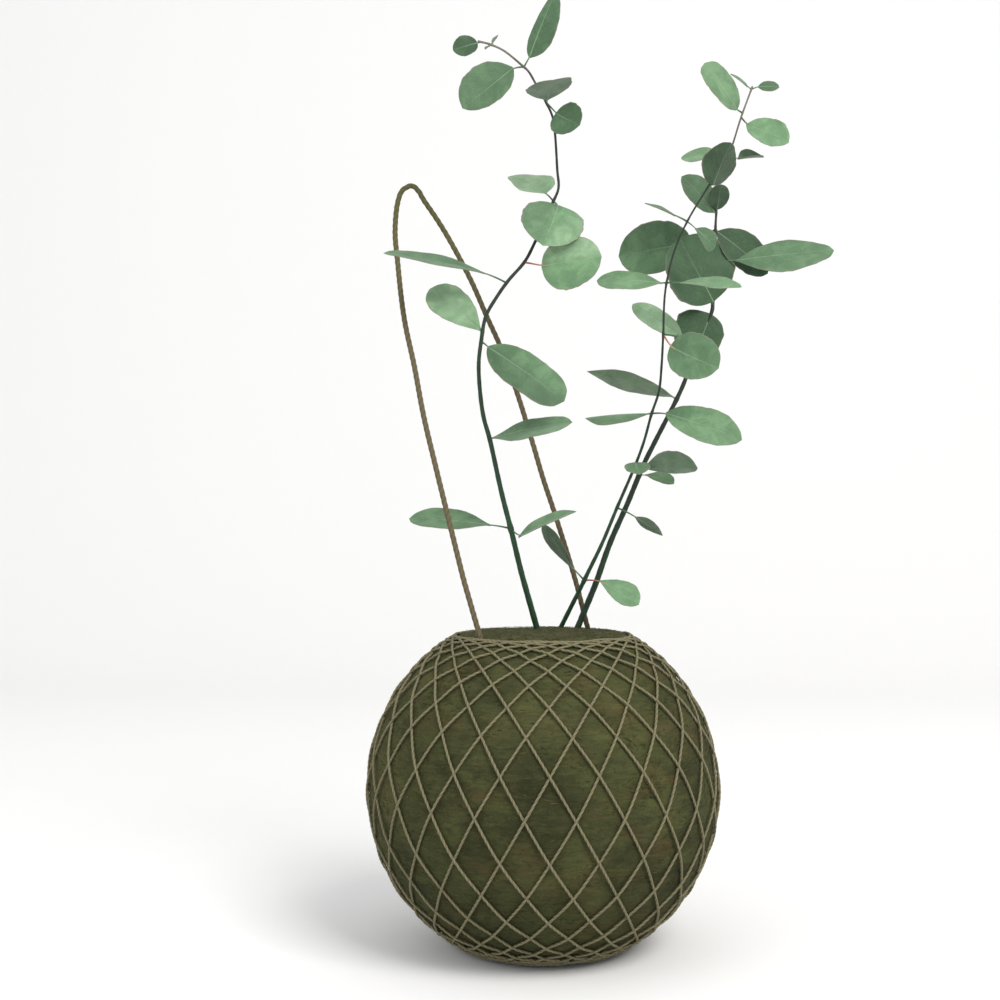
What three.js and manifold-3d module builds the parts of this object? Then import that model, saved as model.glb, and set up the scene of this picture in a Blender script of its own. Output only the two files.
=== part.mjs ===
// Kokedama: a ball of soil wrapped in moss, netted with twine, with three leafy stems
// and a stiff hanging loop. Millimetres, +Z up, front of the plant towards -Y.
// The origin is the centre of the small flat spot that the ball rests on.

import * as THREE from 'three';
import { mergeVertices } from 'three/addons/utils/BufferGeometryUtils.js';
import Module from 'manifold-3d';

const wasm = await Module();
wasm.setup();

// Ball
const BALL_CENTRE_Z = 67.2;
const MOSS_RADIUS = 73.65;
const MOSS_TOP_RISE = 64.3;
const MOSS_TOP_CROWN = 0.8;
const REST_SPOT_RADIUS = 28;
const MOSS_SKIRT = [[33.2, -66.1], [35.8, -64.5]];
const MOSS_SKIRT_LATITUDE = -60;
const MOSS_SIDES = 36;
const MOSS_ARC_STEPS = 10;
const CAVITY_RADIUS = 65;
const CAVITY_HALF_HEIGHT = 56;
const SOIL_GAP = 0.3;
const SOIL_SIDES = 24;
const SOIL_ARC_STEPS = 6;

// Twine net: great circles of one tilt, evenly turned about the vertical axis
const NET_RADIUS = 75;
const NET_CIRCLES = 24;
const NET_TILT = 60;
const NET_TURN = -5.3;
const NET_LAST_ROW = 9;
const TWINE_WIDTH = 1.3;
const TWINE_FOOT = 0.5;
const TWINE_RIDGE = 0.65;
const RIM_SIDES = 24;
const RIM_SECTION = [[57.3, 74.3], [57.3, 75.9], [59, 76.1], [60.4, 75.7], [60.5, 74.3]];

// Hanging loop: stiff cord with its two ends sunk in the ball
const LOOP_RADIUS = 1.05;
const LOOP_QUARTER_SEGMENTS = 4;
const LOOP_STEPS = 64;
const LOOP_ROUTE = [
  [-27, -21, 104], [-27, -21, 117], [-27, -21, 126], [-27, -21, 134], [-33.5, -17, 158],
  [-38.5, -13, 177], [-45.5, -8, 204], [-51, -4, 226], [-55.5, 1, 248], [-60.5, 6, 270],
  [-64, 12, 296], [-65.5, 16, 310], [-64.5, 19, 324], [-62.5, 21, 329.5], [-58.5, 22, 331.5],
  [-55.5, 22, 329], [-53.5, 22, 325.5], [-47, 23, 316], [-41.5, 24, 307], [-32, 25, 289],
  [-25, 26, 273], [-18.5, 26, 258.5], [-11.5, 27, 239], [-4.5, 29, 216.5], [0.5, 30, 199.5],
  [5, 30, 186], [13, 30, 160.5], [16.5, 29, 148],
  [19.5, 28, 134], [19.5, 28, 126], [19.5, 28, 117], [19.5, 28, 104],
];

// Stems, and the holes that they and the loop's ends stand in
const STEM_SIDES = 5;
const STEM_STATIONS = 30;
const HOLE_CLEARANCE = 0.35;
const HOLE_FLOOR_GAP = 0.3;
const HOLE_TOP = 140;
const HOLE_SIDES = 12;
const CURVE_DIVISIONS = 2000;
const MERGE_DISTANCE = 1e-4;

// Leaf blade: share of the length, share of the half width
const BLADE_STATIONS = [[0, 0.1], [0.12, 0.6], [0.36, 0.98], [0.64, 0.94], [0.88, 0.55], [1, 0.08]];
const BLADE_THICKNESS = 0.7;
const PETIOLE_HALF_WIDTH = 0.45;
const FOLD = 0.14;
const DROOP = 0.08;
const UNDERSIDE_STRIPS = [3, 4];
const MIDRIB_POINT = 1;

// A stem has its radius at the buried end and at the tip, and how early the taper comes
// (1 is even). A leaf: along is its distance from the stem's buried end. heading 0 is +X
// and 90 is +Y. face turns the upper side from straight up towards the front. fold is the
// rise of the blade's edges over its midrib, for each millimetre across. lean makes one
// half of the blade wider than the other. Lengths are in millimetres.
const LEFT_STEM = {
  name: 'leafy_stem_left',
  colour: 0x6c9a70,
  footRadius: 1.5,
  tipRadius: 0.45,
  taper: 1.5,
  route: [
    [-3, 9, 110], [-3, 9, 119], [-3, 9, 127], [-3, 9, 134], [-9.5, 3, 160], [-13.5, -1, 177],
    [-17.5, -4, 193], [-22.5, -8, 216], [-25, -9, 225], [-26.5, -10, 236], [-27, -11, 248],
    [-26, -11, 257], [-24, -10, 268], [-19, -9, 277], [-14.5, -8, 283.5], [-7.5, -6, 292],
    [-3, -4, 301], [4.5, 0, 318.5], [7, 1, 325], [6.5, 1, 333], [5.5, 1, 349], [4.5, 1, 356],
    [1.5, 0, 362.5], [-3, -2, 370], [-6, -4, 374.5], [-9, -5, 377], [-16.5, -7, 382.5],
    [-22.5, -8, 385], [-27.5, -9, 386],
  ],
  leaves: [
    {
      along: 70, heading: 170, rise: 8, petiole: 9, petioleRise: 10,
      length: 37, width: 15, face: 35,
    },
    {
      along: 70, heading: 340, rise: 27, petiole: 5, petioleRise: -45,
      length: 28, width: 12, face: 30, fold: 0.3,
    },
    {
      along: 110, heading: 340, rise: 13, petiole: 1,
      length: 36, width: 17, face: 35, lean: -0.2,
    },
    {
      along: 152, heading: 340, rise: -33, petiole: 4, petioleRise: -40,
      length: 41, width: 18, face: 60, lean: -0.1,
    },
    {
      along: 156, heading: 155, rise: 40, petiole: 1,
      length: 33, width: 16, face: 60, lean: -0.1,
    },
    {
      along: 180, heading: 185, rise: 15, petiole: 10, petioleRise: 24,
      length: 44, width: 14, face: 28,
    },
    {
      along: 192, heading: 345, rise: 8, petiole: 8, petioleRise: -15,
      length: 26, width: 25, face: 75, lean: -0.15,
    },
    {
      along: 223, heading: 250, rise: -50, petiole: 3, petioleHeading: 340, petioleRise: -40,
      length: 25, width: 27, face: 30,
    },
    {
      along: 223, heading: 140, rise: 30, petiole: 6, petioleRise: 45,
      length: 25, width: 18, face: 25, lean: -0.2,
    },
    {
      along: 267, heading: 315, rise: -30, petiole: 8, petioleRise: -45,
      length: 15, width: 15, face: 70,
    },
    { along: 267, heading: 275, rise: 10, petiole: 3, length: 21, width: 20, face: 10 },
    {
      along: 285, heading: 20, rise: 70, petiole: 5, petioleRise: 60,
      length: 34, width: 11, face: 60, lean: -0.4,
    },
    {
      along: 285, heading: 200, rise: -40, petiole: 5, petioleRise: -10,
      length: 29, width: 18, face: 75, lean: -0.2,
    },
    { along: 302, heading: 60, rise: 50, petiole: 1, length: 7, width: 2, face: 0 },
    { along: 302, heading: 240, rise: -30, petiole: 1, length: 5, width: 2, face: 0 },
    { along: 306, heading: 190, rise: -15, petiole: 2, length: 11, width: 10, face: 70 },
  ],
};

const MIDDLE_STEM = {
  name: 'leafy_stem_middle',
  colour: 0x78a87c,
  footRadius: 1.25,
  tipRadius: 0.4,
  taper: 1.5,
  route: [
    [9.5, 22, 110], [9.5, 22, 119], [9.5, 22, 127], [9.5, 22, 134], [18.5, 14, 155], [26, 9, 171],
    [32.5, 5, 187], [40, 0, 205], [43.5, -3, 215], [46.5, -6, 226.5], [49.5, -8, 236],
    [50.5, -10, 247], [51, -12, 259], [52, -12, 278.5], [56, -11, 295.5], [61.5, -10, 308],
    [70.5, -8, 323], [79, -7, 336], [81, -6, 341], [85, -5, 353.5], [90, -4, 367],
  ],
  leaves: [
    {
      along: 48, heading: 165, rise: 58, petiole: 7, petioleRise: 45,
      length: 24, width: 9, face: -55, lean: -0.3,
    },
    {
      along: 48, heading: 345, rise: -28, petiole: 7, petioleRise: 0,
      length: 20, width: 12, face: 45, lean: 0.15,
    },
    { along: 84, heading: 15, rise: -30, petiole: 9, petioleRise: -25, length: 15, width: 6, face: -40 },
    {
      along: 104, heading: 340, rise: 3, petiole: 4, petioleRise: -15,
      length: 24, width: 14, face: -40, lean: -0.3,
    },
    {
      along: 104, heading: 275, rise: -25, petiole: 2, petioleRise: 50,
      length: 11, width: 11, face: 5,
    },
    { along: 128, heading: 345, rise: -18, petiole: 6, petioleRise: 0, length: 34, width: 17, face: 60 },
    { along: 128, heading: 160, rise: 2, petiole: 1, length: 29, width: 16, face: 10, fold: -0.4 },
    {
      along: 162, heading: 335, rise: -25, petiole: 6, petioleRise: -60,
      length: 23, width: 20, face: 75,
    },
    {
      along: 162, heading: 155, rise: 38, petiole: 9, petioleHeading: 25, petioleRise: -5,
      length: 28, width: 11, face: 50,
    },
    {
      along: 184, heading: 170, rise: 8, petiole: 2, petioleRise: 0,
      length: 28, width: 14, face: 45, lean: 0.2,
    },
    { along: 184, heading: 340, rise: -3, petiole: 6, length: 26, width: 12, face: 30 },
    { along: 212, heading: 30, rise: -30, petiole: 5, length: 13, width: 10, face: 80 },
    { along: 212, heading: 160, rise: 30, petiole: 6, length: 15, width: 6, face: 15 },
    {
      along: 230, heading: 320, rise: 65, petiole: 2, petioleRise: 5,
      length: 19, width: 22, face: 0, lean: 0.05,
    },
    { along: 245, heading: 155, rise: 11, petiole: 3, length: 18, width: 13, face: 38 },
    {
      along: 245, heading: 20, rise: 12, petiole: 5, petioleRise: 0,
      length: 13, width: 9, face: 30, fold: 0.5,
    },
    {
      along: 266, heading: 200, rise: 56, petiole: 3, petioleRise: 20,
      length: 24, width: 17, face: 70, lean: 0.1,
    },
    {
      along: 264, heading: 340, rise: -25, petiole: 4, petioleRise: -55,
      length: 20, width: 14, face: 60,
    },
    { along: 277, heading: 345, rise: -3, petiole: 3, petioleRise: 20, length: 9, width: 6, face: 60 },
    { along: 277, heading: 160, rise: 45, petiole: 2, length: 10, width: 4, face: 20 },
  ],
};

const RIGHT_STEM = {
  name: 'leafy_stem_right',
  colour: 0x5c8a66,
  footRadius: 1.5,
  tipRadius: 0.6,
  taper: 0.7,
  route: [
    [16.5, 20, 110], [16.5, 20, 119], [16.5, 20, 127], [16.5, 20, 134], [24, 20, 154],
    [30, 20, 171], [37.5, 20, 188], [45, 20, 206], [50, 21, 216], [60, 22, 235.5],
    [63, 23, 242], [70.5, 24, 262], [76, 25, 275], [76.5, 26, 279], [78, 27, 296],
    [78, 28, 313], [78.5, 28, 321.5],
  ],
  leaves: [
    {
      along: 96, heading: 335, rise: -13, petiole: 3, petioleRise: 10,
      length: 14, width: 8, face: 30, lean: 0.2,
    },
    {
      along: 134, heading: 175, rise: 21, petiole: 2, petioleRise: 45,
      length: 40, width: 13, face: -35, lean: -0.2,
    },
    {
      along: 180, heading: 205, rise: 60, petiole: 3, petioleHeading: 270, petioleRise: 30,
      length: 32, width: 38, face: 85,
    },
    { along: 178, heading: 210, rise: -65, petiole: 2, length: 28, width: 23, face: 70, lean: -0.25 },
    {
      along: 200, heading: 350, rise: 7, petiole: 9, petioleRise: 3,
      length: 43, width: 21, face: 55, lean: -0.2,
    },
    {
      along: 215, heading: 170, rise: -5, petiole: 12, petioleRise: -30,
      length: 34, width: 25, face: 80,
    },
    {
      along: 216, heading: 5, rise: -36, petiole: 2, petioleRise: -70,
      length: 30, width: 18, face: 75,
    },
    { along: 222, heading: 200, rise: 46, petiole: 1, length: 22, width: 16, face: 70 },
    { along: 223, heading: 280, rise: 60, petiole: 1, length: 12, width: 10, face: 5 },
  ],
};

const radians = THREE.MathUtils.degToRad;

// Solids

function solidOf(geometry) {
  const bare = geometry.clone();
  bare.deleteAttribute('normal');
  bare.deleteAttribute('uv');
  const merged = mergeVertices(bare, MERGE_DISTANCE);
  const vertProperties = new Float32Array(merged.attributes.position.array);
  const triVerts = new Uint32Array(merged.index.array);
  return new wasm.Manifold(new wasm.Mesh({ numProp: 3, vertProperties, triVerts }));
}

function geometryOf(solid) {
  const mesh = solid.getMesh();
  const geometry = new THREE.BufferGeometry();
  geometry.setAttribute('position', new THREE.Float32BufferAttribute(mesh.vertProperties, 3));
  geometry.setIndex(new THREE.Uint32BufferAttribute(mesh.triVerts, 1));
  geometry.computeVertexNormals();
  return geometry;
}

function indexedGeometry(points, triangles) {
  const geometry = new THREE.BufferGeometry();
  geometry.setAttribute('position', new THREE.Float32BufferAttribute(points.flatMap((p) => p.toArray()), 3));
  geometry.setIndex(triangles.flat());
  return geometry;
}

// Profile points are [distance from the axis, height], from the bottom to the top.
function turned(profile, sides) {
  const points = profile.map(([r, z]) => new THREE.Vector2(r, z));
  return new THREE.LatheGeometry(points, sides).rotateX(Math.PI / 2);
}

function arcProfile(radius, fromLatitude, toLatitude, steps) {
  return Array.from({ length: steps + 1 }, (_, i) => {
    const latitude = radians(fromLatitude + ((toLatitude - fromLatitude) * i) / steps);
    return [radius * Math.cos(latitude), radius * Math.sin(latitude)];
  });
}

function latitudeAt(radius, height) {
  return THREE.MathUtils.radToDeg(Math.asin(height / radius));
}

function smoothCurve(route) {
  const curve = new THREE.CatmullRomCurve3(route.map((p) => new THREE.Vector3(...p)), false, 'centripetal');
  curve.arcLengthDivisions = CURVE_DIVISIONS;
  return curve;
}

// Skin over rings of points, each ring turning the same way, with both ends closed.
// Strips named in mirrored are split along their other diagonal. The caps fan out from pivot.
function loft(rings, mirrored = [], pivot = 0) {
  const size = rings[0].length;
  const triangles = [];
  for (let i = 0; i < rings.length - 1; i++) {
    for (let k = 0; k < size; k++) {
      const a = i * size + k;
      const b = i * size + ((k + 1) % size);
      const aNext = a + size;
      const bNext = b + size;
      if (mirrored.includes(k)) triangles.push([a, b, aNext], [b, bNext, aNext]);
      else triangles.push([a, b, bNext], [a, bNext, aNext]);
    }
  }
  const last = (rings.length - 1) * size;
  for (let k = 1; k < size - 1; k++) {
    const p = (pivot + k) % size;
    const q = (pivot + k + 1) % size;
    triangles.push([pivot, q, p], [last + pivot, last + p, last + q]);
  }
  return indexedGeometry(rings.flat(), triangles);
}

// Ball

function holeCutter([x, y, z], radius) {
  const bottom = z - HOLE_FLOOR_GAP;
  const height = HOLE_TOP - bottom;
  const cutter = new THREE.CylinderGeometry(radius, radius, height, HOLE_SIDES);
  return solidOf(cutter.rotateX(Math.PI / 2).translate(x, y, bottom + height / 2));
}

function ballHoles() {
  const stems = [LEFT_STEM, MIDDLE_STEM, RIGHT_STEM].map((stem) =>
    holeCutter(stem.route[0], stem.footRadius + HOLE_CLEARANCE));
  const ends = [LOOP_ROUTE[0], LOOP_ROUTE[LOOP_ROUTE.length - 1]].map((end) =>
    holeCutter(end, LOOP_RADIUS + HOLE_CLEARANCE));
  return [...stems, ...ends];
}

function roundedCore(radius, halfHeight) {
  const latitude = latitudeAt(radius, halfHeight);
  const side = arcProfile(radius, -latitude, latitude, SOIL_ARC_STEPS);
  return turned([[0, -halfHeight], ...side, [0, halfHeight]], SOIL_SIDES).translate(0, 0, BALL_CENTRE_Z);
}

function mossMat(holes) {
  const top = latitudeAt(MOSS_RADIUS, MOSS_TOP_RISE);
  const profile = [
    [0, -BALL_CENTRE_Z],
    [REST_SPOT_RADIUS, -BALL_CENTRE_Z],
    ...MOSS_SKIRT,
    ...arcProfile(MOSS_RADIUS, MOSS_SKIRT_LATITUDE, top, MOSS_ARC_STEPS),
    [0, MOSS_TOP_RISE + MOSS_TOP_CROWN],
  ];
  const outside = solidOf(turned(profile, MOSS_SIDES).translate(0, 0, BALL_CENTRE_Z));
  const cavity = solidOf(roundedCore(CAVITY_RADIUS, CAVITY_HALF_HEIGHT));
  return holes.reduce((solid, hole) => solid.subtract(hole), outside.subtract(cavity));
}

function soilCore(holes) {
  const core = solidOf(roundedCore(CAVITY_RADIUS - SOIL_GAP, CAVITY_HALF_HEIGHT - SOIL_GAP));
  return holes.reduce((solid, hole) => solid.subtract(hole), core);
}

// Twine net: at each crossing a ridge point and four foot points, joined by straight strands

const RIDGE = 0;
const NORTH = 1;
const EAST = 2;
const SOUTH = 3;
const WEST = 4;
const CROSSING_POINTS = 5;

const isOdd = (row) => Math.abs(row % 2) === 1;

function crossingPoints(row, column) {
  const step = 360 / NET_CIRCLES;
  const longitude = radians(NET_TURN + step * (column + (isOdd(row) ? 0.5 : 0)));
  const latitude = Math.atan(Math.tan(radians(NET_TILT)) * Math.sin(radians((row * step) / 2)));
  const slope = Math.acos(Math.cos(radians(NET_TILT)) / Math.cos(latitude));
  const outward = new THREE.Vector3(
    Math.cos(latitude) * Math.sin(longitude),
    -Math.cos(latitude) * Math.cos(longitude),
    Math.sin(latitude),
  );
  const east = new THREE.Vector3(Math.cos(longitude), Math.sin(longitude), 0);
  const north = new THREE.Vector3().crossVectors(outward, east);
  const centre = new THREE.Vector3(0, 0, BALL_CENTRE_Z);
  const foot = centre.clone().addScaledVector(outward, NET_RADIUS - TWINE_FOOT);
  const reachNorth = TWINE_WIDTH / 2 / Math.cos(slope);
  const reachEast = TWINE_WIDTH / 2 / Math.sin(slope);
  return [
    centre.clone().addScaledVector(outward, NET_RADIUS + TWINE_RIDGE),
    foot.clone().addScaledVector(north, reachNorth),
    foot.clone().addScaledVector(east, reachEast),
    foot.clone().addScaledVector(north, -reachNorth),
    foot.clone().addScaledVector(east, -reachEast),
  ];
}

function crossingIndex(row, column, corner) {
  const wrapped = (column + NET_CIRCLES) % NET_CIRCLES;
  return ((row + NET_LAST_ROW) * NET_CIRCLES + wrapped) * CROSSING_POINTS + corner;
}

function twineLattice() {
  const points = [];
  const triangles = [];
  const quad = (a, b, c, d) => triangles.push([a, b, c], [a, c, d]);
  for (let row = -NET_LAST_ROW; row <= NET_LAST_ROW; row++) {
    for (let column = 0; column < NET_CIRCLES; column++) {
      points.push(...crossingPoints(row, column));
      const p = (corner) => crossingIndex(row, column, corner);
      quad(p(NORTH), p(EAST), p(SOUTH), p(WEST));
      if (row === -NET_LAST_ROW) {
        triangles.push([p(RIDGE), p(WEST), p(SOUTH)], [p(RIDGE), p(SOUTH), p(EAST)]);
      }
      if (row === NET_LAST_ROW) {
        triangles.push([p(RIDGE), p(EAST), p(NORTH)], [p(RIDGE), p(NORTH), p(WEST)]);
        continue;
      }
      const right = (corner) => crossingIndex(row + 1, column + (isOdd(row) ? 1 : 0), corner);
      quad(p(RIDGE), right(RIDGE), right(WEST), p(NORTH));
      quad(p(RIDGE), p(EAST), right(SOUTH), right(RIDGE));
      quad(p(NORTH), right(WEST), right(SOUTH), p(EAST));
      const left = (corner) => crossingIndex(row + 1, column - (isOdd(row) ? 0 : 1), corner);
      quad(p(RIDGE), p(NORTH), left(EAST), left(RIDGE));
      quad(p(RIDGE), left(RIDGE), left(SOUTH), p(WEST));
      quad(p(NORTH), p(WEST), left(SOUTH), left(EAST));
    }
  }
  return solidOf(indexedGeometry(points, triangles));
}

// The strands pile up into one band where the circles turn back, round each end of the ball.
function rimBand(side) {
  const section = RIM_SECTION.map(([latitude, radius]) => [
    radius * Math.cos(radians(latitude)),
    side * radius * Math.sin(radians(latitude)),
  ]);
  const closed = [...section, section[0]];
  const ordered = side > 0 ? closed : closed.reverse();
  return solidOf(turned(ordered, RIM_SIDES).translate(0, 0, BALL_CENTRE_Z));
}

function twineNet() {
  return twineLattice().add(rimBand(1)).add(rimBand(-1));
}

// Hanging loop

function hangingLoop() {
  const section = new THREE.Shape().absarc(0, 0, LOOP_RADIUS, 0, 2 * Math.PI);
  return new THREE.ExtrudeGeometry(section, {
    steps: LOOP_STEPS,
    curveSegments: LOOP_QUARTER_SEGMENTS,
    extrudePath: smoothCurve(LOOP_ROUTE),
  });
}

// Leafy stems

function stemSolid(stem, curve) {
  const frames = curve.computeFrenetFrames(STEM_STATIONS, false);
  const rings = frames.tangents.map((_, i) => {
    const share = i / STEM_STATIONS;
    const radius = stem.tipRadius + (stem.footRadius - stem.tipRadius) * (1 - share) ** stem.taper;
    return Array.from({ length: STEM_SIDES }, (_, k) => {
      const angle = (2 * Math.PI * k) / STEM_SIDES;
      return curve.getPointAt(share)
        .addScaledVector(frames.normals[i], radius * Math.cos(angle))
        .addScaledVector(frames.binormals[i], radius * Math.sin(angle));
    });
  });
  return solidOf(loft(rings));
}

function direction(heading, rise) {
  const h = radians(heading);
  const r = radians(rise);
  return new THREE.Vector3(Math.cos(h) * Math.cos(r), Math.sin(h) * Math.cos(r), Math.sin(r));
}

function leafSolid(root, leaf) {
  const forward = direction(leaf.heading, leaf.rise);
  const turn = radians(leaf.face) * Math.sign(Math.cos(radians(leaf.heading)));
  const side = direction(leaf.heading + 90, 0).applyAxisAngle(forward, turn);
  const upper = new THREE.Vector3().crossVectors(forward, side);
  const petiole = direction(leaf.petioleHeading ?? leaf.heading, leaf.petioleRise ?? leaf.rise);
  const bladeStart = root.clone().addScaledVector(petiole, leaf.petiole);
  const fold = leaf.fold ?? FOLD;
  const lean = leaf.lean ?? 0;
  const ring = (centre, halfWidth) => {
    const edge = (sign) => {
      const reach = halfWidth * (1 + sign * lean);
      return centre.clone().addScaledVector(side, sign * reach).addScaledVector(upper, fold * reach);
    };
    const spine = [edge(1), centre, edge(-1)];
    const raised = spine.map((p) => p.clone().addScaledVector(upper, BLADE_THICKNESS / 2));
    const lowered = spine.map((p) => p.clone().addScaledVector(upper, -BLADE_THICKNESS / 2));
    return [...raised, ...lowered.reverse()];
  };
  const blade = BLADE_STATIONS.map(([share, width]) => {
    const centre = bladeStart.clone()
      .addScaledVector(forward, leaf.length * share)
      .addScaledVector(upper, -DROOP * leaf.length * share ** 2);
    return ring(centre, Math.max(PETIOLE_HALF_WIDTH, (leaf.width / 2) * width));
  });
  const skin = (rings) => solidOf(loft(rings, UNDERSIDE_STRIPS, MIDRIB_POINT));
  const stalkFoot = ring(root, PETIOLE_HALF_WIDTH);
  if (petiole.dot(forward) > 0) return skin([stalkFoot, ...blade]);
  // The blade turns back over its stalk, so the two are joined as separate bodies.
  const stalkTip = ring(bladeStart.clone().addScaledVector(petiole, PETIOLE_HALF_WIDTH), PETIOLE_HALF_WIDTH);
  return skin([stalkTip, stalkFoot]).add(skin(blade));
}

function leafyStem(stem) {
  const curve = smoothCurve(stem.route);
  const length = curve.getLength();
  const leaves = stem.leaves.map((leaf) => leafSolid(curve.getPointAt(leaf.along / length), leaf));
  return wasm.Manifold.union([stemSolid(stem, curve), ...leaves]);
}

// Model

const group = new THREE.Group();

function addMesh(name, geometry, colour, roughness) {
  const material = new THREE.MeshStandardMaterial({ color: colour, roughness, metalness: 0 });
  const mesh = new THREE.Mesh(geometry, material);
  mesh.name = name;
  group.add(mesh);
}

const holes = ballHoles();
addMesh('moss_mat', geometryOf(mossMat(holes)), 0x55582f, 1);
addMesh('soil_core', geometryOf(soilCore(holes)), 0x3b2a1e, 1);
addMesh('twine_net', geometryOf(twineNet()), 0x9a8f6d, 0.9);
addMesh('hanging_loop', hangingLoop(), 0x7c6d50, 0.85);
for (const stem of [LEFT_STEM, MIDDLE_STEM, RIGHT_STEM]) {
  addMesh(stem.name, geometryOf(leafyStem(stem)), stem.colour, 0.6);
}

export default group;
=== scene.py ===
"""Visual model of the moss ball plant: moss, twine, loop and leafy stems over the CAD frame.

Shapes are worked out in millimetres, with +Z up and the front of the plant towards -Y.
"""
import math

import bpy
import numpy as np
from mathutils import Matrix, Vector, noise


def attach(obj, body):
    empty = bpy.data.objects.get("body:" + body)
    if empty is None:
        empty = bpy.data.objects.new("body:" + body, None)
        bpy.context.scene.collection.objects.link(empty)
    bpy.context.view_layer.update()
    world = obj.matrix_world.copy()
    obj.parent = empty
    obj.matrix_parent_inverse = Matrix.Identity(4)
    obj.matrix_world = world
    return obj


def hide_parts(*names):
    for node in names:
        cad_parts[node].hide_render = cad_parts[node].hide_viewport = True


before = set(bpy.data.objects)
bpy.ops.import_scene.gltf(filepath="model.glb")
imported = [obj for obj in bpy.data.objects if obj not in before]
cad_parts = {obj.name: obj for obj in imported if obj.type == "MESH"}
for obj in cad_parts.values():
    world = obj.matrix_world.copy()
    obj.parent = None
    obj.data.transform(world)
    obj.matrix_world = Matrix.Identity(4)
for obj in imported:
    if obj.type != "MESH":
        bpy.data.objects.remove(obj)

MM = 0.001
TURN = 2 * math.pi
UP = np.array([0, 0, 1])
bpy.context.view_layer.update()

# Ball, its flat top and the flat spot below
BALL_Z = 67.2  # height of the ball's centre
MOSS_R = 73.8
TOP_RISE = 65.4  # height of the top's rim above the ball's centre
TOP_CROWN = 1.4  # height of the top's middle above its rim
SPOT_R = 28

# Moss surface: rows from the spot below, up the round side and in over the top
MOSS_SIDES = 300
SPOT_ROWS = 10
ROUND_ROWS = 150
TOP_ROWS = 34
SPOT_INSET = 1.5
SPOT_EDGE = [(-0.4, 0.15), (0.8, 0.5)]  # outwards and up from the spot's edge
ROUND_START = 2.6  # outwards from the spot's edge
ROUND_END = 0.012  # radians short of the rim
RIM_EDGE = [(0.7, 0.35), (1.8, 0.02)]  # inwards and down from the rim
TOP_INSET = 3
NET_EDGE = 59  # latitude in degrees up to which the moss swells between the strands
CELL_PILLOW = 0.4
STRAND_DIP = 0.1
LUMPS = [(0.06, 3.1, 0.55), (0.33, 9.7, 0.32)]  # frequency, seed and height
SIDE_LUMP_SHARE = 0.8
SPOT_LUMP_SHARE = 0.3
TOP_LUMP_SHARE = 0.35
TOP_BLEND = 1.2
FLOOR_BLEND = 4
# painted shade: the moss is painted darker below this height, as shade near the floor
FLOOR_SHADE_HEIGHT = 0.0625  # metres above the floor, below which the moss darkens

# Moss fibres: ranges are lowest and highest, spreads are standard deviations
FIBRE_STATIONS = [(0, 0.7), (0.35, 1), (0.7, 0.8), (1, 0.15)]  # share of length, share of width
SIDE_FIBRES = 11000
LOWEST_FIBRE = -0.86  # sine of the latitude
HIGHEST_FIBRE = 0.865
TWINE_CLEARANCE = 0.16  # as net_distance counts it
SIDE_LENGTHS = (1.4, 3.6)
SIDE_HALF_WIDTHS = (0.12, 0.24)
SIDE_SEATS = (73.7, 74.0)  # radius where a fibre starts
SIDE_LIFTS = (0.15, 0.4)
HEADING_SPREAD = 0.45
BOW_SPREAD = 0.16
TOP_FIBRES = 2600
TOP_FIBRE_R = 35
TOP_CROWN_R = 36
TOP_SEAT = 0.1
TOP_LENGTHS = (1.0, 2.6)
TOP_HALF_WIDTHS = (0.1, 0.2)
TOP_LIFTS = (0.1, 0.35)

# Twine net: circles of one tilt, evenly turned about the vertical axis
NET_R = 74.95
NET_CIRCLES = 24
NET_TILT = math.radians(60)
NET_TURN = math.radians(-5.3)
NET_PARTS = 3
NET_STEPS = 640
WEAVE_HEIGHT = 0.32
WEAVE_SHARPNESS = 3.5
CROWD_START = 55  # latitude in degrees where the windings begin to pile up
CROWD_SPAN = 4.5
PILE_LIFT = (0.1, 0.15)  # middle and spread, outwards
PILE_SHIFT = (0.25, 0.25)  # middle and spread, away from the rim
TWINE_R = 0.52
TWINE_SIDES = 8
TWINE_PITCH = 5.2
TWINE_LOBES = 2
TWINE_GROOVE = 0.12

# Hanging loop
LOOP_R = 1.15
LOOP_STEPS = 1100
LOOP_SIDES = 12
LOOP_PITCH = 9
LOOP_LOBES = 3
LOOP_GROOVE = 0.06
GREEN_HEIGHT = 0.27  # metres, where the loop begins to turn greener
GREEN_SPAN = 0.05

# Stems and the loop are drawn down to the first height, and run straight below the second
BURIED_Z = 127
STRAIGHT_Z = 148
SLOPE_STEPS = 3  # points over which the straight stretch's slope is taken
CURVE_SAMPLES = 40  # points between two points of a route
FIRST_NORMAL = [0.3, 1, 0.1]  # any direction that no path starts along

# Stems and leaf stalks
STEM_STEPS = 260
STEM_SIDES = 12
STEM_CAP = 0.3
JOINT_SWELLING = 0.12
JOINT_LENGTH = 1.3
STEM_RIPPLES = [(0.03, 0.9), (0.02, 2.3)]  # share of the radius, radians in a millimetre
STALK_STEPS = 14
STALK_SIDES = 8
STALK_R = 0.34
SMALL_STALK_R = 0.24
SMALL_LEAF = 14
STALK_BOW = 0.06
STALK_REACH = 2.5  # longest stretch under the midrib
STALK_FOOT = 1.25  # share of its radius at the stem
STALK_TAPER = 0.55  # how much of that share is lost towards the blade

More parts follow.
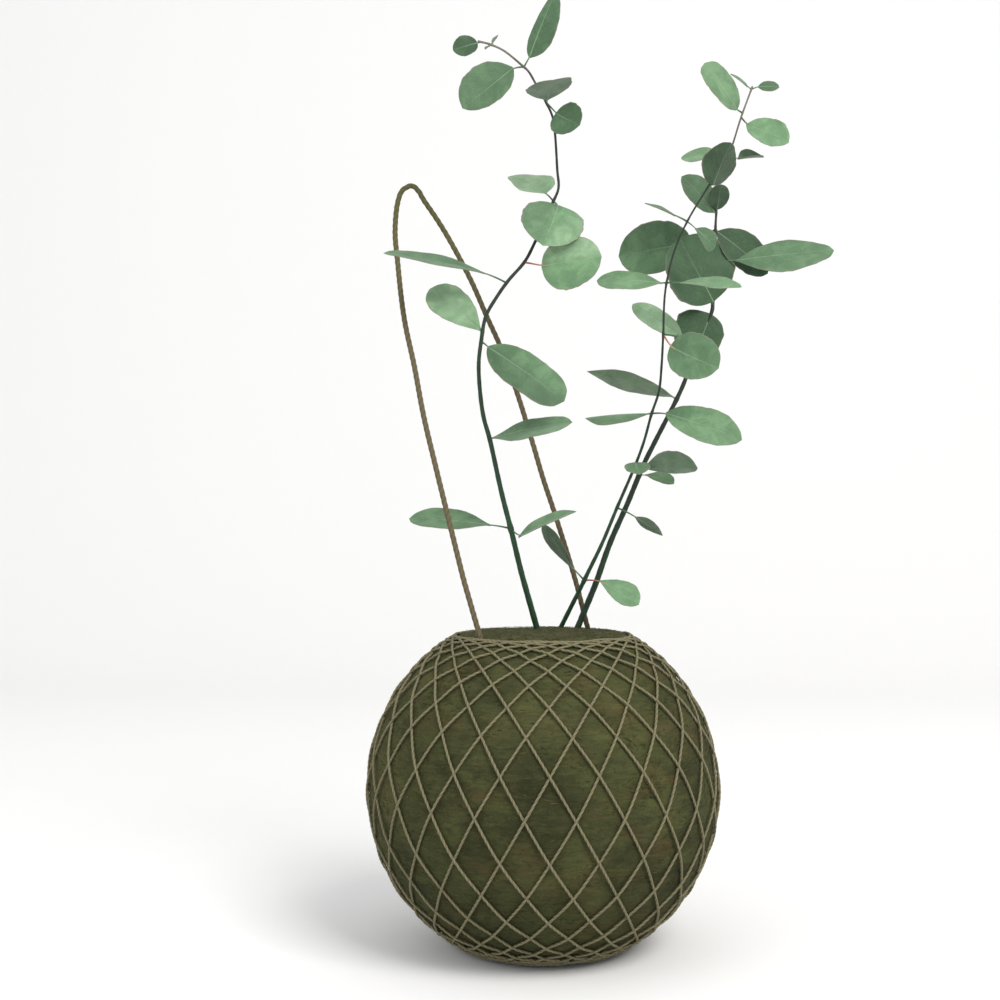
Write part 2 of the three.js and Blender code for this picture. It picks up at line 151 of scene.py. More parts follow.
# Leaf blades: half width at shares of the length, for each shape
WIDTH_STATIONS = [0, 0.04, 0.12, 0.3, 0.5, 0.7, 0.86, 0.95, 1]
WIDTHS = {
    "round": [0.05, 0.38, 0.66, 0.94, 1, 0.92, 0.68, 0.4, 0],
    "willow": [0.05, 0.14, 0.4, 0.84, 1, 0.84, 0.56, 0.34, 0],
    "oval": [0.05, 0.24, 0.54, 0.89, 1, 0.93, 0.66, 0.36, 0],
    "lance": [0.05, 0.16, 0.44, 0.86, 1, 0.82, 0.46, 0.18, 0],
    "obovate": [0.05, 0.12, 0.33, 0.73, 0.95, 1, 0.78, 0.44, 0],
    "ovate": [0.06, 0.42, 0.76, 1, 0.95, 0.76, 0.48, 0.24, 0],
    "blunt": [0.06, 0.3, 0.6, 0.9, 1, 0.98, 0.82, 0.54, 0],
}
ALONG_STEPS = 30
ACROSS_STEPS = 14
FOLD = 0.14
DROOP = 0.08
BLADE_THICKNESS = 0.45
TIP_START = 0.985
HALF_SPREAD = 0.025
SWAY = 0.025
EDGE_WAVE = 0.022
TWIST_WAVE = 0.03
OUTLINE_WAVES = (0.012, 0.01)  # long and short, as shares of the half width
MIDRIB_HEIGHT = 0.16
MIDRIB_HALF_WIDTH = 0.45
GROOVE_SHARE = 0.6  # of the midrib's height, sunk into the upper face
RIDGE_SHARE = 1.6  # of the midrib's height, standing out below
BASE_SHADE = 0.2
BASE_SHADE_LENGTH = 0.18

# Stage, light and camera, in metres
FLOOR_HALF_WIDTH = 4.0
FLOOR_FRONT = -3.0
FLOOR_BACK = 0.9
WALL_BEND = 0.6
BEND_START = 0.1  # radians
BEND_STEPS = 14
WALL_TOP = 3.5
LIGHT_TARGET = (0, 0, 0.2)
WORLD_STRENGTH = 0.75
CAMERA_PLACE = (0, -0.6095, 0.1807)
CAMERA_PITCH = 90.87
CAMERA_YAW = 1.72
CAMERA_LENS = 50.87
CAMERA_SENSOR = 36


def leaf(along, heading, rise, stalk, length, width, face, shape, tone, **more):
    """One leaf: its place along the stem, its direction, the stalk's length, and the blade.

    Angles are degrees. face turns the blade about its midrib, lean makes one half wider than the
    other, fold lifts both sides of the blade beside the midrib, and tone runs from 0, light, to 1, dark;
    each leaf's tone is partly its own colour and partly painted shade on leaves that lie in shadow.
    halves is painted shade that makes one half darker and the other lighter, as light falls across
    the blade, and red gives a reddish stalk. The stalk points the blade's way unless its own heading
    or rise is given.
    """
    return dict(along=along, heading=heading, rise=rise, stalk=stalk, length=length, width=width,
                face=face, shape=shape, tone=tone, **more)


LOOP_ROUTE = [
    (-27, -21, 104), (-27, -21, 117), (-27, -21, 126), (-27, -21, 134), (-33.5, -17, 158), (-38.5, -13, 177),
    (-45.5, -8, 204), (-51, -4, 226), (-55.5, 1, 248), (-60.5, 6, 270), (-64, 12, 296), (-65.5, 16, 310),
    (-64.5, 19, 324), (-62.5, 21, 329.5), (-58.5, 22, 331.5), (-55.5, 22, 329), (-53.5, 22, 325.5),
    (-47, 23, 316), (-41.5, 24, 307), (-32, 25, 289), (-25, 26, 273), (-18.5, 26, 258.5), (-11.5, 27, 239),
    (-4.5, 29, 216.5), (0.5, 30, 199.5), (5, 30, 186), (13, 30, 160.5), (16.5, 29, 148), (19.5, 28, 134),
    (19.5, 28, 126), (19.5, 28, 117), (19.5, 28, 104),
]

LEFT_STEM = dict(
    node="leafy_stem_left", foot=1.5, tip=0.45, taper=1.5,
    route=[
        (-3, 9, 110), (-3, 9, 119), (-3, 9, 127), (-3, 9, 134), (-9.5, 3, 160), (-13.5, -1, 177),
        (-17.5, -4, 193), (-22.5, -8, 216), (-25, -9, 225), (-26.5, -10, 236), (-27, -11, 248),
        (-26, -11, 257), (-24, -10, 268), (-19, -9, 277), (-14.5, -8, 283.5), (-7.5, -6, 292),
        (-3, -4, 301), (4.5, 0, 318.5), (7, 1, 325), (6.5, 1, 333), (5.5, 1, 349), (4.5, 1, 356),
        (1.5, 0, 362.5), (-3, -2, 370), (-6, -4, 374.5), (-9, -5, 377), (-16.5, -7, 382.5),
        (-22.5, -8, 385), (-27.5, -9, 386),
    ],
    leaves=[
        leaf(70, 170, 8, 9, 37, 15, 35, "obovate", 0.5, stalk_rise=10),
        leaf(70, 340, 27, 5, 28, 12, 30, "lance", 0.4, stalk_rise=-45, fold=0.3),
        leaf(110, 340, 13, 1, 36, 17, 35, "obovate", 0.45, lean=-0.2),
        leaf(152, 340, -33, 4, 41, 18, 60, "blunt", 0.6, stalk_rise=-40, lean=-0.1, halves=-0.12),
        leaf(156, 155, 40, 1, 33, 16, 60, "obovate", 0.15, lean=-0.1),
        leaf(180, 185, 15, 10, 44, 14, 28, "obovate", 0.55, stalk_rise=24),
        leaf(192, 345, 8, 8, 26, 25, 75, "round", 0.25, stalk_rise=-15, lean=-0.15, halves=-0.1, red=True),
        leaf(223, 250, -50, 3, 25, 27, 30, "round", 0.35, stalk_heading=340, stalk_rise=-40, halves=-0.15),
        leaf(223, 140, 30, 6, 25, 18, 25, "ovate", 0.15, stalk_rise=45, lean=-0.2),
        leaf(267, 315, -30, 8, 15, 15, 70, "round", 0.65, stalk_rise=-45),
        leaf(267, 275, 10, 3, 21, 20, 10, "oval", 0.55),
        leaf(285, 20, 70, 5, 34, 11, 60, "ovate", 0.75, stalk_rise=60, lean=-0.4),
        leaf(285, 200, -40, 5, 29, 18, 75, "oval", 0.6, stalk_rise=-10, lean=-0.2),
        leaf(302, 60, 50, 1, 7, 2, 0, "lance", 0.7),
        leaf(302, 240, -30, 1, 5, 2, 0, "lance", 0.7),
        leaf(306, 190, -15, 2, 11, 10, 70, "round", 0.9),
    ],
)

MIDDLE_STEM = dict(
    node="leafy_stem_middle", foot=1.25, tip=0.4, taper=2.6,
    route=[
        (9.5, 22, 110), (9.5, 22, 119), (9.5, 22, 127), (9.5, 22, 134), (18.5, 14, 155), (26, 9, 171),
        (32.5, 5, 187), (40, 0, 205), (43.5, -3, 215), (46.5, -6, 226.5), (49.5, -8, 236), (50.5, -10, 247),
        (51, -12, 259), (52, -12, 278.5), (56, -11, 295.5), (61.5, -10, 308), (70.5, -8, 323), (79, -7, 336),
        (81, -6, 341), (85, -5, 353.5), (90, -4, 367),
    ],
    leaves=[
        leaf(48, 165, 58, 7, 24, 9, -55, "obovate", 0.8, stalk_rise=45, lean=-0.3),
        leaf(48, 345, -28, 7, 20, 12, 45, "obovate", 0.3, stalk_rise=0, lean=0.15, red=True),
        leaf(84, 15, -30, 9, 15, 6, -40, "lance", 0.6, stalk_rise=-25),
        leaf(104, 340, 3, 4, 24, 14, -40, "obovate", 0.45, stalk_rise=-15, lean=-0.3),
        leaf(104, 275, -25, 2, 11, 11, 5, "oval", 0.5, stalk_rise=50),
        leaf(128, 345, -18, 6, 34, 17, 60, "oval", 0.4, stalk_rise=0),
        leaf(128, 160, 2, 1, 29, 16, 10, "lance", 0.5, fold=-0.4),
        leaf(162, 335, -25, 6, 23, 20, 75, "round", 0.5, stalk_rise=-60, red=True),
        leaf(162, 155, 38, 9, 28, 11, 50, "oval", 0.1, stalk_heading=25, stalk_rise=-5),
        leaf(184, 170, 8, 2, 28, 14, 45, "obovate", 0.35, stalk_rise=0, lean=0.2),
        leaf(184, 340, -3, 6, 26, 12, 30, "willow", 0.3),
        leaf(212, 30, -30, 5, 13, 10, 80, "obovate", 0.6),
        leaf(212, 160, 30, 6, 15, 6, 15, "lance", 0.6),
        leaf(230, 320, 65, 2, 19, 22, 0, "round", 1, stalk_rise=5, lean=0.05),
        leaf(245, 155, 11, 3, 18, 13, 38, "oval", 0.3),
        leaf(245, 20, 12, 5, 13, 9, 30, "lance", 0.65, stalk_rise=0, fold=0.5),
        leaf(266, 200, 56, 3, 24, 17, 70, "blunt", 0.4, stalk_rise=20, lean=0.1),
        leaf(264, 340, -25, 4, 20, 14, 60, "oval", 0.3, stalk_rise=-55),
        leaf(277, 345, -3, 3, 9, 6, 60, "oval", 0.65, stalk_rise=20),
        leaf(277, 160, 45, 2, 10, 4, 20, "lance", 0.5),
    ],
)

RIGHT_STEM = dict(
    node="leafy_stem_right", foot=1.5, tip=0.45, taper=0.7,
    route=[
        (16.5, 20, 110), (16.5, 20, 119), (16.5, 20, 127), (16.5, 20, 134), (24, 20, 154), (30, 20, 171),
        (37.5, 20, 188), (45, 20, 206), (50, 21, 216), (60, 22, 235.5), (63, 23, 242), (70.5, 24, 262),
        (76, 25, 275), (76.5, 26, 279), (78, 27, 296), (78, 28, 313), (78.5, 28, 321.5),
    ],
    leaves=[
        leaf(96, 335, -13, 3, 14, 8, 30, "obovate", 0.45, stalk_rise=10, lean=0.2, red=True),
        leaf(134, 175, 21, 2, 40, 13, -35, "lance", 0.4, stalk_rise=45, lean=-0.2),
        leaf(180, 205, 60, 3, 32, 38, 85, "round", 0.9, stalk_heading=270, stalk_rise=30),
        leaf(178, 210, -65, 2, 28, 23, 70, "ovate", 1, lean=-0.25),
        leaf(200, 350, 7, 9, 43, 21, 55, "willow", 0.5, stalk_rise=3, lean=-0.2),
        leaf(215, 170, -5, 12, 34, 25, 80, "round", 0.55, stalk_rise=-30, halves=-0.1),
        leaf(216, 5, -36, 2, 30, 18, 75, "oval", 1, stalk_rise=-70),
        leaf(222, 200, 46, 1, 22, 16, 70, "oval", 0.65),
        leaf(223, 280, 60, 1, 12, 10, 5, "round", 0.9),
    ],
)

rng = np.random.default_rng(20)


# Mesh helpers

def mesh_object(name, verts, faces, node, slot, materials, face_materials=None, **attributes):
    mesh = bpy.data.meshes.new(name)
    mesh.from_pydata((np.asarray(verts, float) * MM).tolist(), [], [tuple(map(int, f)) for f in faces])
    for key, values in attributes.items():
        layer = mesh.attributes.new(key, "FLOAT_VECTOR", "POINT")
        layer.data.foreach_set("vector", np.asarray(values, float).reshape(-1))
    for material in materials:
        mesh.materials.append(material)
    if face_materials is not None:
        mesh.polygons.foreach_set("material_index", np.asarray(face_materials, np.int32))
    mesh.polygons.foreach_set("use_smooth", [True] * len(mesh.polygons))
    mesh.update()
    obj = bpy.data.objects.new(name, mesh)
    bpy.context.scene.collection.objects.link(obj)
    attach(obj, "root")
    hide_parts(node)


class Batch:
    """Gathers several grids into one mesh."""

    def __init__(self):
        self.verts = []
        self.faces = []
        self.face_materials = []
        self.attributes = {}
        self.count = 0

    def add(self, verts, faces, material=0, **attributes):
        verts = np.asarray(verts, float)
        self.verts.append(verts)
        self.faces.append(np.asarray(faces, int) + self.count)
        self.face_materials.append(np.broadcast_to(material, len(faces)))
        for key, values in attributes.items():
            self.attributes.setdefault(key, []).append(np.broadcast_to(values, (len(verts), 3)))
        self.count += len(verts)

    def fan(self, first, sides, centre):
        """Close the ring of points that starts at first with triangles to one point."""
        self.faces.append(np.array([[first + k, first + (k + 1) % sides, centre] for k in range(sides)]))
        self.face_materials.append(np.zeros(sides, int))

    def build(self, name, node, slot, materials):
        faces = [tuple(f) for block in self.faces for f in block]
        attributes = {k: np.vstack(v) for k, v in self.attributes.items()}
        mesh_object(name, np.vstack(self.verts), faces, node, slot, materials,
                    np.concatenate(self.face_materials), **attributes)


def tube_faces(rings, sides, closed=False):
    i, k = np.meshgrid(np.arange(rings if closed else rings - 1), np.arange(sides), indexing="ij")
    i, k = i.ravel(), k.ravel()
    n, k2 = (i + 1) % rings, (k + 1) % sides
    return np.stack([i * sides + k, i * sides + k2, n * sides + k2, n * sides + k], 1)


def unit(v):
    return v / np.maximum(np.linalg.norm(v, axis=-1, keepdims=True), 1e-12)


def centripetal(points, count):
    """Evenly spaced points on a centripetal Catmull-Rom curve, and their distances along it."""
    p = np.asarray(points, float)
    p = np.vstack([2 * p[0] - p[1], p, 2 * p[-1] - p[-2]])
    dense = []
    for i in range(1, len(p) - 2):
        p0, p1, p2, p3 = p[i - 1:i + 3]
        t0 = 0
        t1 = t0 + np.linalg.norm(p1 - p0) ** 0.5
        t2 = t1 + np.linalg.norm(p2 - p1) ** 0.5
        t3 = t2 + np.linalg.norm(p3 - p2) ** 0.5
        t = np.linspace(t1, t2, CURVE_SAMPLES, endpoint=False)[:, None]
        a1 = (t1 - t) / (t1 - t0) * p0 + (t - t0) / (t1 - t0) * p1
        a2 = (t2 - t) / (t2 - t1) * p1 + (t - t1) / (t2 - t1) * p2
        a3 = (t3 - t) / (t3 - t2) * p2 + (t - t2) / (t3 - t2) * p3
        b1 = (t2 - t) / (t2 - t0) * a1 + (t - t0) / (t2 - t0) * a2
        b2 = (t3 - t) / (t3 - t1) * a2 + (t - t1) / (t3 - t1) * a3
        dense.append((t2 - t) / (t2 - t1) * b1 + (t - t1) / (t2 - t1) * b2)
    dense.append(p[-2:-1])
    dense = np.vstack(dense)
    steps = np.concatenate([[0], np.cumsum(np.linalg.norm(np.diff(dense, axis=0), axis=1))])
    even = np.linspace(0, steps[-1], count)
    return np.stack([np.interp(even, steps, dense[:, a]) for a in range(3)], 1), even


def straight_foot(path):
    """The same path with its ends run straight on into the moss."""
    path = path.copy()
    above = np.flatnonzero(path[:, 2] > STRAIGHT_Z)
    for edge, inward in ((above[0], SLOPE_STEPS), (above[-1], -SLOPE_STEPS)):
        if path[0 if inward > 0 else -1, 2] > BURIED_Z:
            continue
        slope = (path[edge + inward] - path[edge]) / (path[edge + inward, 2] - path[edge, 2])
        low = np.arange(edge) if inward > 0 else np.arange(edge + 1, len(path))
        path[low] = path[edge] + slope * (path[low, 2] - path[edge, 2])[:, None]
    return path


def carried_frames(path):
    """Normals and binormals carried along the path without twist."""
    tangents = unit(np.gradient(path, axis=0))
    normal = unit(np.cross(tangents[0], FIRST_NORMAL))
    normals = []
    for t in tangents:
        normal = unit(normal - t * np.dot(normal, t))
        normals.append(normal)
    normals = np.array(normals)
    return normals, np.cross(tangents, normals)


def rings_about(path, normals, binormals, radius, sides):
    """A ring of points round each point of the path, and the angles of its points."""
    angle = np.arange(sides) * TURN / sides
    outward = np.cos(angle)[:, None] * normals[:, None] + np.sin(angle)[:, None] * binormals[:, None]
    return path[:, None] + radius[..., None] * outward, angle


def twisted(path, normals, binormals, along, radius, sides, pitch, lobes, groove, phase=0.0):
    """Points of a cord whose lobed section turns once in each pitch, and how far each is on a lobe."""
    turn = phase + TURN * along / pitch
    wave = np.cos(lobes * (np.arange(sides) * TURN / sides - turn[:, None]))
    rings, _ = rings_about(path, normals, binormals, radius * (1 + groove * wave), sides)
    return rings.reshape(-1, 3), (0.5 + 0.5 * wave).reshape(-1)


# Shader helpers

class Nodes:
    """Builds the node tree of one material."""

    def __init__(self, name):
        self.material = bpy.data.materials.new(name)
        self.material.use_nodes = True
        self.tree = self.material.node_tree
        self.shader = self.tree.nodes["Principled BSDF"]

    def node(self, kind, inputs=(), **settings):
        n = self.tree.nodes.new(kind)
        for key, value in settings.items():
            setattr(n, key, value)
        for key, value in dict(inputs).items():
            self.feed(n.inputs[key], value)
        return n

    def feed(self, socket, value):
        if isinstance(value, bpy.types.NodeSocket):
            self.tree.links.new(value, socket)
        else:
            socket.default_value = value

    def attribute(self, name):
        return self.node("ShaderNodeAttribute", attribute_name=name).outputs["Vector"]

    def split(self, vector):
        n = self.node("ShaderNodeSeparateXYZ", {0: vector})
        return n.outputs[0], n.outputs[1], n.outputs[2]

    def math(self, operation, a, b=0.0, clamp=False):
        return self.node("ShaderNodeMath", {0: a, 1: b}, operation=operation, use_clamp=clamp).outputs[0]

    def plus(self, a, b):
        return self.math("ADD", a, b)

    def minus(self, a, b, clamp=False):
        return self.math("SUBTRACT", a, b, clamp)

    def times(self, a, b, clamp=False):
        return self.math("MULTIPLY", a, b, clamp)

    def size(self, a):
        return self.math("ABSOLUTE", a)

    def place(self):
        return self.node("ShaderNodeTexCoord").outputs["Object"]

    def height(self):
        return self.split(self.place())[2]

    def coordinates(self, scale=(1, 1, 1), source=None):
        return self.node("ShaderNodeMapping", {"Vector": source or self.place(), "Scale": scale}).outputs[0]

    def noise(self, scale, detail=4.0, roughness=0.55, vector=None, distortion=0.0):
        n = self.node("ShaderNodeTexNoise", {"Vector": vector or self.coordinates(), "Scale": scale,
                                             "Detail": detail, "Roughness": roughness,
                                             "Distortion": distortion})
        return n.outputs["Fac"]

    def ramp(self, value, *stops):
        n = self.node("ShaderNodeValToRGB", {"Fac": value})
        elements = n.color_ramp.elements
        while len(elements) < len(stops):
            elements.new(0.5)
        for element, (position, colour) in zip(elements, stops):
            element.position = position
            element.color = (*colour, 1)
        return n.outputs["Color"]

    def mix(self, factor, a, b, blend="MIX"):
        n = self.node("ShaderNodeMix", data_type="RGBA", blend_type=blend)
        self.feed(n.inputs[0], factor)
        self.feed(n.inputs[6], a if isinstance(a, bpy.types.NodeSocket) else (*a, 1))
        self.feed(n.inputs[7], b if isinstance(b, bpy.types.NodeSocket) else (*b, 1))
        return n.outputs[2]

    def multiply(self, a, b):
        return self.mix(1.0, a, b, "MULTIPLY")

    def bump(self, height, distance, strength=1.0, under=None):
        inputs = {"Height": height, "Distance": distance, "Strength": strength}
        if under:
            inputs["Normal"] = under
        return self.node("ShaderNodeBump", inputs).outputs[0]

    def finish(self, colour, normal, roughness, **constants):
        self.feed(self.shader.inputs["Base Color"], colour)
        if normal:
            self.feed(self.shader.inputs["Normal"], normal)
        self.feed(self.shader.inputs["Roughness"], roughness)
        for key, value in constants.items():
            self.shader.inputs[key.replace("_", " ")].default_value = value
        return self.material


def rgb(code):
    """Linear colour of an sRGB hex code."""
    parts = [int(code[i:i + 2], 16) / 255 for i in (0, 2, 4)]
    return tuple(p / 12.92 if p <= 0.04045 else ((p + 0.055) / 1.055) ** 2.4 for p in parts)


def grey(value):
    return (value, value, value)


BLACK = grey(0)


# Materials. They read what the meshes carry at each point:
# blade: share of the length, share of the half width, tone
# reach: distance along the midrib, distance from it, place in the pattern
# facts, on the moss surface: nearness to a strand, for painted shade beside the twine, share on the top
# facts, on fibres: tone
# facts, on twine and the loop: height on the ridge, distance along, seed
# facts, on stems and stalks: share of the length, angle

def moss_material():
    m = Nodes("moss")
    near, top, _ = m.split(m.attribute("facts"))
    broad = m.noise(22, 4, 0.55, m.coordinates((1, 1, 1.6)), 0.5)
    patch = m.noise(60, 4, 0.6, m.coordinates((1, 1, 2)), 0.6)
    brown = m.noise(42, 4, 0.6, m.coordinates((1, 1, 2)), 0.5)
    fibre = m.noise(300, 4, 0.65, m.coordinates((0.4, 0.4, 2.2)), 1.0)
    grain = m.noise(1300, 3, 0.65)
    colour = m.ramp(broad, (0.32, rgb("2c2e1d")), (0.5, rgb("3f4129")), (0.68, rgb("4f4e31")))
    colour = m.mix(m.ramp(patch, (0.44, BLACK), (0.64, grey(0.8))), colour, rgb("464a2c"))
    colour = m.mix(m.ramp(brown, (0.52, BLACK), (0.7, grey(0.6))), colour, rgb("4e412a"))
    colour = m.mix(m.times(top, 0.7), colour, rgb("4d4d31"))
    shade = m.ramp(fibre, (0.3, grey(0.74)), (0.52, grey(0.97)), (0.72, (1.24, 1.22, 1.15)))
    speck = m.ramp(grain, (0.35, grey(0.88)), (0.65, (1.1, 1.1, 1.08)))
    colour = m.multiply(m.multiply(colour, shade), speck)
    # painted shade: the moss is darkened towards the floor
    low = m.minus(1.0, m.times(m.height(), 1 / FLOOR_SHADE_HEIGHT), clamp=True)
    colour = m.mix(m.times(low, 0.4), colour, rgb("1c1e12"))
    # painted shade: the moss is darkened beside the twine strands
    colour = m.mix(m.times(near, 0.2), colour, rgb("1c1d10"))
    normal = m.bump(fibre, 0.0007, 0.6)
    normal = m.bump(grain, 0.0003, 0.4, normal)
    return m.finish(colour, normal, 0.95, Specular_IOR_Level=0.1)


def fibre_material():
    m = Nodes("moss_fibre")
    tone = m.split(m.attribute("facts"))[0]
    colour = m.ramp(tone, (0.0, rgb("2f3220")), (0.4, rgb("404227")), (0.65, rgb("4a4a2c")),
                    (0.85, rgb("524d31")), (1.0, rgb("584f35")))
    colour = m.mix(m.times(m.noise(60, 3), 0.5), colour, rgb("31341f"))
    return m.finish(colour, m.bump(m.noise(2500, 2), 0.0002), 0.9, Specular_IOR_Level=0.1)


def twine_material(name, light, dark, low, groove_shade, green=None):
    """Twisted fibre. green tints the part above GREEN_HEIGHT."""
    m = Nodes(name)
    ridge = m.split(m.attribute("facts"))[0]
    streak = m.noise(1.0, 4, 0.7, m.coordinates((3, 0.8, 1), m.attribute("facts")))
    fibre = m.noise(2600, 3, 0.7)
    # painted shade: the twist's ridges are painted lighter and its grooves darker, mixed with fibre streaks
    lit = m.plus(m.times(ridge, groove_shade), m.times(streak, 0.5))
    colour = m.ramp(lit, (0.15, low), (0.5, dark), (0.9, light))
    colour = m.mix(m.times(m.noise(30, 4, 0.6), 0.5), colour, dark)
    if green:
        upper = m.times(m.minus(m.height(), GREEN_HEIGHT), 1 / GREEN_SPAN, clamp=True)
        colour = m.mix(upper, colour, m.multiply(colour, green))
    colour = m.multiply(colour, m.ramp(fibre, (0.3, grey(0.8)), (0.7, grey(1.15))))
    return m.finish(colour, m.bump(fibre, 0.00025, 0.8), 0.9, Specular_IOR_Level=0.12)


def leaf_material(name, light, fresh, mid, dark, vein, underside):
    """Waxy blade with mottling, a midrib, arched side veins, a fine net and a reddish rim."""
    m = Nodes(name)
    share, across, tone = m.split(m.attribute("blade"))
    far, out, seed = m.split(m.attribute("reach"))
    edge = m.size(across)
    offset = m.node("ShaderNodeCombineXYZ", {0: far, 1: out, 2: seed}).outputs[0]
    mottle = m.noise(0.13, 5, 0.6, offset, 0.5)
    fine = m.noise(1.1, 4, 0.7, offset)
    colour = m.ramp(tone, (0.0, light), (0.3, fresh), (0.6, mid), (1.0, dark))
    for mask, tint in (
        (m.ramp(mottle, (0.36, grey(0.9)), (0.58, BLACK)), (0.66, 0.74, 0.68)),
        (m.ramp(mottle, (0.5, BLACK), (0.72, grey(0.9))), (1.22, 1.18, 1.16)),
        (m.ramp(fine, (0.45, BLACK), (0.75, grey(0.5))), (1.18, 1.14, 1.16)),
    ):
        colour = m.mix(mask, colour, m.multiply(colour, tint))
    # side veins leave the midrib forwards and arch towards the tip
    climb = m.plus(m.times(out, 0.85), m.times(m.times(out, out), 0.03))
    wobble = m.times(m.noise(0.25, 2, 0.5, offset), 1.6)
    phase = m.math("FRACT", m.times(m.plus(m.minus(far, climb), wobble), 0.27))
    side_vein = m.minus(1.0, m.times(m.size(m.minus(phase, 0.5)), 14.0), clamp=True)
    side_vein = m.times(side_vein, m.minus(1.0, edge, clamp=True))
    voronoi = m.node("ShaderNodeTexVoronoi", {"Vector": offset, "Scale": 0.9}, feature="DISTANCE_TO_EDGE")
    cells = m.minus(1.0, m.times(voronoi.outputs["Distance"], 9.0), clamp=True)
    rib_width = m.minus(0.45, m.times(share, 0.25))
    rib = m.minus(1.0, m.math("DIVIDE", m.size(out), rib_width), clamp=True)
    rib = m.times(m.math("POWER", rib, 0.6), m.minus(1.0, m.times(share, 0.8)))
    strength = 0.7 if underside else 0.9
    colour = m.mix(m.times(cells, 0.05), colour, vein)
    colour = m.mix(m.times(side_vein, 0.14 * strength), colour, vein)
    colour = m.mix(m.times(rib, 0.55 * strength), colour, vein)
    rim = m.times(m.minus(edge, 0.94), 16.0, clamp=True)
    colour = m.mix(m.times(rim, 0.6), colour, rgb("8a6f70"))
    # veins stand out below and lie in grooves above
    rib_relief, vein_relief = (1.0, 0.6) if underside else (-1.0, -0.5)
    relief = m.plus(m.times(rib, rib_relief), m.times(side_vein, vein_relief))
    normal = m.bump(m.plus(relief, m.times(mottle, 1.2)), 0.00035, 0.7)
    normal = m.bump(fine, 0.00015, 0.35, normal)
    rough = m.plus(0.5, m.times(mottle, 0.2))
    return m.finish(colour, normal, rough, Specular_IOR_Level=0.2 if underside else 0.32,
                    Sheen_Weight=0.12, Sheen_Roughness=0.5)


def stem_material(name, low, high, tip):
    m = Nodes(name)
    share = m.split(m.attribute("facts"))[0]
    streak = m.noise(1.0, 4, 0.7, m.coordinates((60, 1.5, 1), m.attribute("facts")))
    colour = m.ramp(share, (0.0, low), (0.25, low), (0.6, high), (0.86, high), (0.97, tip))
    colour = m.multiply(colour, m.ramp(streak, (0.3, grey(0.6)), (0.7, grey(1.35))))
    colour = m.mix(m.times(m.noise(160, 4, 0.7), 0.55), colour, rgb("23281f"))
    return m.finish(colour, m.bump(streak, 0.0002, 0.5), 0.55, Specular_IOR_Level=0.3)


def stalk_material(name, near_stem, near_blade):
    m = Nodes(name)
    share = m.split(m.attribute("facts"))[0]
    colour = m.ramp(share, (0.0, near_stem), (1.0, near_blade))
    colour = m.multiply(colour, m.ramp(m.noise(500, 3), (0.3, grey(0.8)), (0.7, grey(1.15))))
    return m.finish(colour, m.bump(m.noise(900, 2), 0.0001), 0.5, Specular_IOR_Level=0.3)


def soil_material():
    m = Nodes("soil")
    clod = m.noise(120, 6, 0.7)
    colour = m.ramp(clod, (0.3, rgb("231811")), (0.6, rgb("3d2b1e")), (0.8, rgb("5a4330")))
    return m.finish(colour, m.bump(clod, 0.002), 0.98, Specular_IOR_Level=0.1)


# Moss

def net_distance(longitude, latitude):
    """Distance to the nearest strand, from 0 on it to 1 in the middle between two of one family."""
    cell = 360 / NET_CIRCLES
    inside = np.clip(np.tan(latitude) / math.tan(NET_TILT), -1, 1)
    a = np.degrees(np.arcsin(inside)) / cell
    b = np.degrees(longitude - NET_TURN) / cell
    first, second = b - a, b + a
    return np.minimum(np.abs(first - np.round(first)), np.abs(second - np.round(second))) * 2


def point_noise(points, scale, seed):
    return np.array([noise.fractal(Vector((p * scale + seed).tolist()), 0.9, 2.0, 4) for p in points])


def moss_profile():
    """Radius and height from the ball's centre, from the spot below to the middle of the top."""
    side_top = math.asin(TOP_RISE / MOSS_R)
    start = -math.acos((SPOT_R + ROUND_START) / MOSS_R)
    rim = MOSS_R * math.cos(side_top)
    rows = [(r, -BALL_Z) for r in np.linspace(0, SPOT_R - SPOT_INSET, SPOT_ROWS)]
    rows += [(SPOT_R + out, -BALL_Z + up) for out, up in SPOT_EDGE]
    rows += [(MOSS_R * math.cos(t), MOSS_R * math.sin(t))
             for t in np.linspace(start, side_top - ROUND_END, ROUND_ROWS)]
    rows += [(rim - inwards, TOP_RISE - down) for inwards, down in RIM_EDGE]
    rows += [(r, TOP_RISE + TOP_CROWN * (1 - (r / rim) ** 2))
             for r in np.linspace(rim - TOP_INSET, 0, TOP_ROWS)]
    return np.array(rows)


